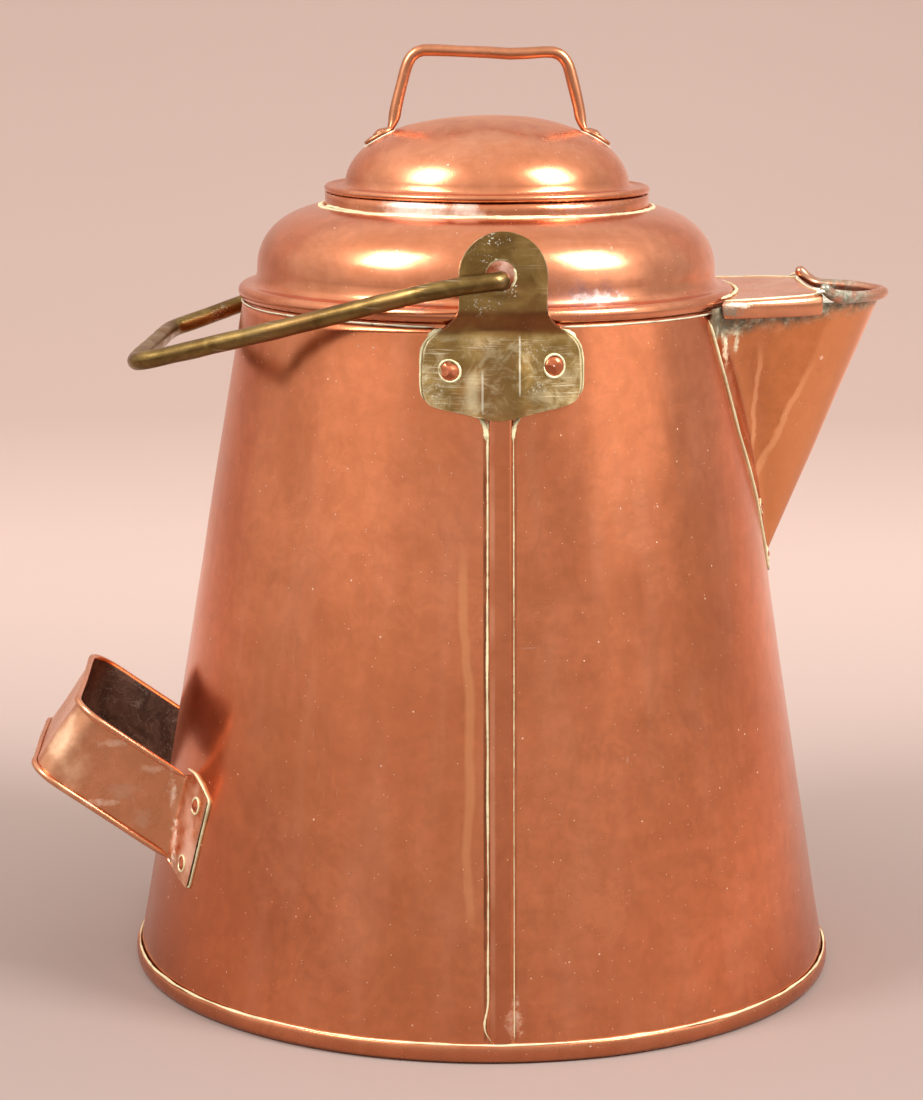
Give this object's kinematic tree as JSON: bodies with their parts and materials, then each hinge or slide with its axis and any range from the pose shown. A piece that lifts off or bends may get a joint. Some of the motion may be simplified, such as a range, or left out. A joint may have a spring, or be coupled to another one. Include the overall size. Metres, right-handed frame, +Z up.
{
  "type": "coffee pot",
  "caption": "Tall tapered copper coffee pot with a lift-off domed lid, a swinging bail, a V spout and a tipping handle low on the back.",
  "frame": {"origin": "centre of the flat underside of the bottom plate, on the body's axis", "axes": "+Z up along the body's axis, +X towards the spout, +Y to the far side lug; the bail turns about a line along Y at z = 0.3024"},
  "size_m": [0.3625, 0.3, 0.3893],
  "materials": {
    "copper": "aged hand-polished copper sheet",
    "dark_copper": "dull unpolished copper sheet",
    "lug_brass": "dull olive-brown brass, worn bright at the edges",
    "rivet_copper": "hammered copper rivet"
  },
  "bodies": {
    "pot": {"bottom_plate": "copper", "body_front_sheet": "copper", "body_rear_sheet": "copper", "breast": "copper", "neck_collar": "copper", "bail_lug_near": "lug_brass", "bail_lug_far": "lug_brass", "lug_rivet_near_front": "rivet_copper", "lug_rivet_near_rear": "rivet_copper", "lug_rivet_far_front": "rivet_copper", "lug_rivet_far_rear": "rivet_copper", "spout_shell": "copper", "spout_rim_wire": "copper", "spout_bridge": "copper", "spout_rivet_near_high": "rivet_copper", "spout_rivet_near_low": "rivet_copper", "spout_rivet_far_high": "rivet_copper", "spout_rivet_far_low": "rivet_copper", "tipping_handle": "copper", "handle_rivet_near_high": "rivet_copper", "handle_rivet_near_low": "rivet_copper", "handle_rivet_far_high": "rivet_copper", "handle_rivet_far_low": "rivet_copper"},
    "lid": {"lid_shell": "copper", "lid_skirt": "dark_copper", "lid_handle": "copper", "lid_rivet_front": "rivet_copper", "lid_rivet_rear": "rivet_copper"},
    "bail_handle": {"bail": "lug_brass"}
  },
  "joints": [
    {"name": "bail_swing", "type": "hinge", "parent": "pot", "child": "bail_handle", "pos_m": [0, 0, 0.3024], "axis": [0, 1, 0], "range_deg": [-14, 194]},
    {"name": "lid_lift", "type": "slide", "parent": "pot", "child": "lid", "axis": [0, 0, 1], "range_m": [0, 0.1]}
  ]
}
